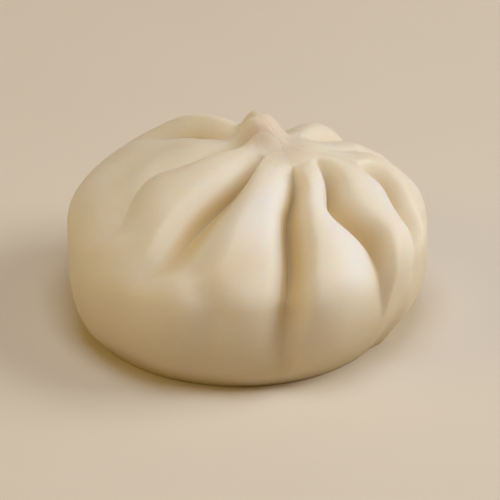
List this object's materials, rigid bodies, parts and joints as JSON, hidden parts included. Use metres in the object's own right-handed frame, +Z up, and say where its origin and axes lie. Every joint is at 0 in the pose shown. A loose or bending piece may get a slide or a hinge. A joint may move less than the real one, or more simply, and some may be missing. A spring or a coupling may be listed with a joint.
{
  "type": "steamed bun",
  "caption": "Round steamed bun of soft white dough, flat underneath, gathered into curved pleats that meet in an off-centre pinch on top.",
  "frame": {"origin": "on the surface that the bun rests on, under the middle of its bounding box", "axes": "+Z up, -Y towards the side with the three deepest creases, +X towards the side that the pinch leans to"},
  "size_m": [0.0686, 0.0682, 0.0392],
  "materials": {
    "dough": "soft satin ivory dough, slightly moist"
  },
  "bodies": {
    "root": {"bun": "dough"}
  },
  "joints": []
}
